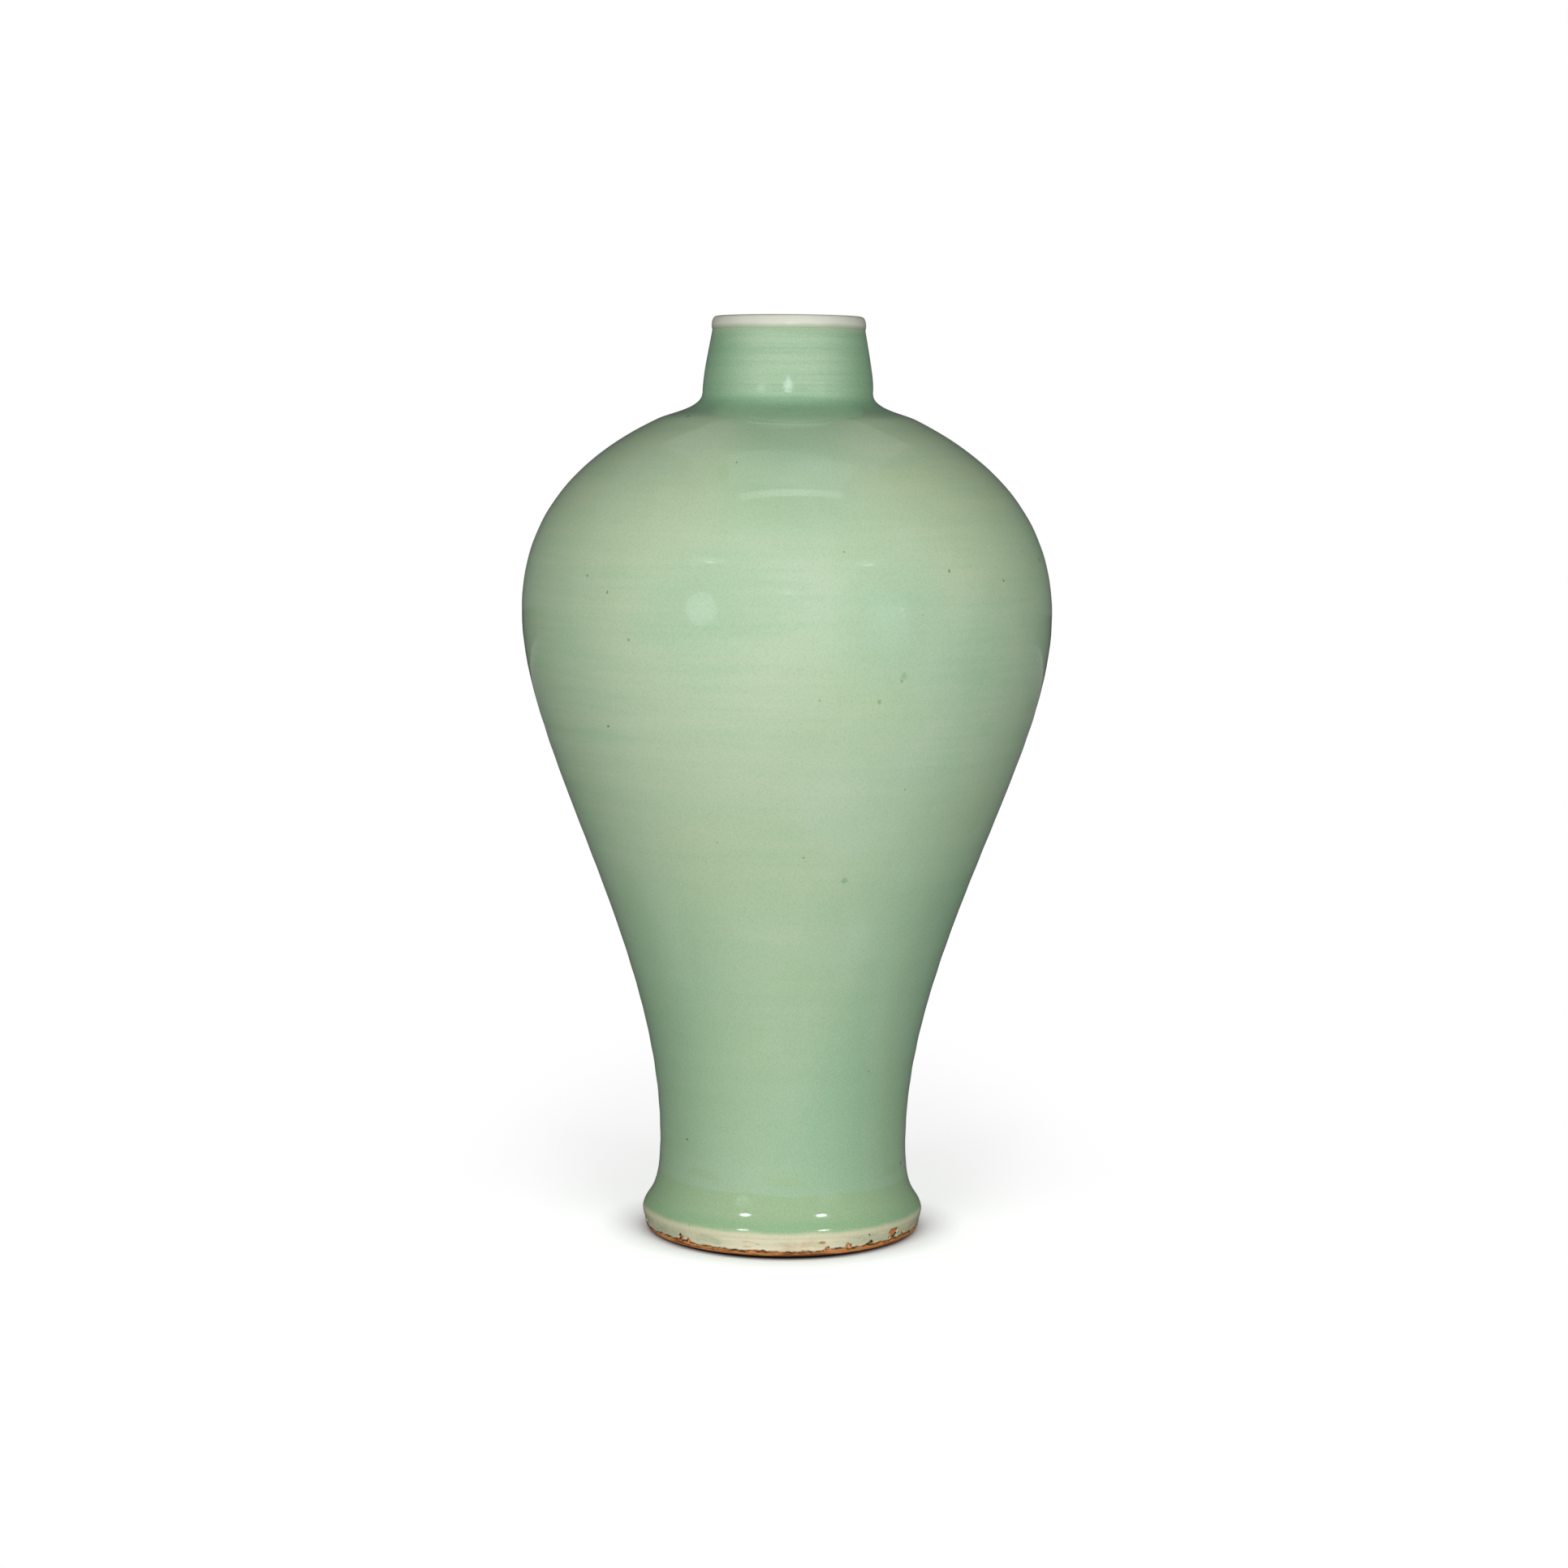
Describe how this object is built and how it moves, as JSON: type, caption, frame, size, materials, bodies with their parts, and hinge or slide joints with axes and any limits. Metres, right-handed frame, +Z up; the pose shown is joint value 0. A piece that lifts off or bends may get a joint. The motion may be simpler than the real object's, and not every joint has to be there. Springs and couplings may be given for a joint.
{
  "type": "meiping vase",
  "caption": "Round-shouldered stoneware vase with a short narrow neck, a slim waist and a flared foot, glazed celadon green.",
  "frame": {"origin": "centre of the resting face of the foot ring", "axes": "+Z up through the mouth, -Y towards the camera of the picture"},
  "size_m": [0.196, 0.196, 0.34],
  "materials": {
    "celadon_glaze": "glossy translucent grey-green glaze with fine pits, faint throwing lines and small iron spots",
    "pale_glaze": "thin pale cream-grey glaze where it has run off the lip and the edge of the foot",
    "burnt_stoneware": "bare stoneware burnt orange-brown in the firing, matt and slightly gritty",
    "stoneware": "grey-buff stoneware with fine turning lines, matt",
    "luting_slip": "smooth fine clay slip, matt"
  },
  "bodies": {
    "root": {"foot_section": "burnt_stoneware", "lower_body_section": "stoneware", "belly_section": "stoneware", "shoulder_section": "stoneware", "neck_section": "stoneware", "base_disc": "stoneware", "base_luting_slip": "luting_slip", "waist_luting_slip": "luting_slip", "belly_luting_slip": "luting_slip", "shoulder_luting_slip": "luting_slip", "neck_luting_slip": "luting_slip", "body_glaze": "celadon_glaze", "lip_glaze": "pale_glaze", "neck_lining_glaze": "celadon_glaze", "foot_edge_glaze": "pale_glaze", "base_glaze": "celadon_glaze"}
  },
  "joints": []
}
